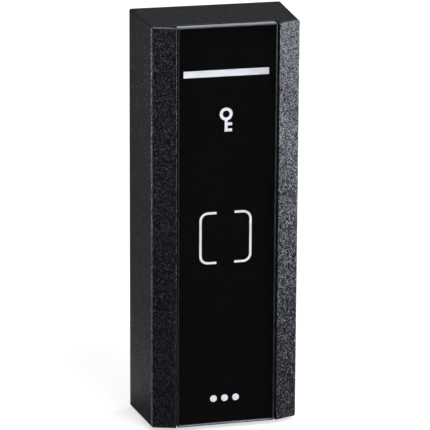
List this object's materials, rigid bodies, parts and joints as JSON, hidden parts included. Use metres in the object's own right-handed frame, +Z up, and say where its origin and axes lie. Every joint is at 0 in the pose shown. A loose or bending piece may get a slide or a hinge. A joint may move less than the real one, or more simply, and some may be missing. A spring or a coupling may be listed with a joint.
{
  "type": "rfid card reader",
  "caption": "Narrow wall-mounted RFID card reader: black faceted housing, full-height glass front with a light bar, and a hooked steel wall plate with a lock screw.",
  "frame": {"origin": "centre of the wall-screw pattern, on the wall plane", "axes": "+Y into the wall, +Z up, the glass faces -Y"},
  "size_m": [0.049, 0.0279, 0.13],
  "materials": {
    "housing": "fine textured black moulding",
    "glass": "clear tempered, polished, ground edge",
    "ink": "black print behind glass",
    "print": "white print behind glass",
    "diffuser": "milky translucent",
    "tape": "black foam adhesive tape",
    "led": "lamp resin",
    "board": "green solder mask",
    "copper": "bare copper",
    "ferrite": "pressed ferrite film",
    "chip": "moulded epoxy",
    "steel": "plain stainless",
    "aluminium": "drawn can",
    "terminal": "green moulding",
    "brass": "turned",
    "seal": "black silicone",
    "plunger": "natural acetal"
  },
  "bodies": {
    "wall_bracket": {"wall_plate": "steel", "lock_nut": "steel"},
    "reader": {"front_housing": "housing", "front_glass": "glass", "glass_ink": "ink", "light_window": "diffuser", "key_mark": "print", "zone_mark": "print", "foot_dots": "print", "glass_tape": "tape", "light_guide": "diffuser", "status_leds": "led", "antenna_board": "board", "antenna_coil": "copper", "ferrite_sheet": "ferrite", "board_link": "chip", "main_board": "board", "board_screws": "steel", "controller_chip": "chip", "radio_chip": "chip", "shield_can": "steel", "crystal": "steel", "capacitor": "aluminium", "buzzer": "chip", "tamper_switch": "chip", "terminal_block": "terminal", "terminal_clamps": "steel", "terminal_screws": "steel", "rear_inserts": "brass", "rear_seal": "seal", "rear_cover": "housing", "rear_cover_screws": "steel"},
    "tamper_plunger": {"tamper_plunger": "plunger"},
    "lock_screw": {"lock_screw": "steel"}
  },
  "joints": [
    {"name": "reader_tilt", "type": "hinge", "parent": "wall_bracket", "child": "reader", "pos_m": [0, -0.00295, 0.0626], "axis": [-1, 0, 0], "range_deg": [0, 10]},
    {"name": "lock_screw_travel", "type": "slide", "parent": "reader", "child": "lock_screw", "axis": [0, 0, 1], "range_m": [0, 0.00335]},
    {"name": "tamper_plunger_travel", "type": "slide", "parent": "reader", "child": "tamper_plunger", "axis": [0, 1, 0], "range_m": [0, 0.0012]}
  ],
  "couplings": [
    {"joint": "tamper_plunger_travel", "follows": "reader_tilt", "m_per_rad": 0.00685}
  ]
}
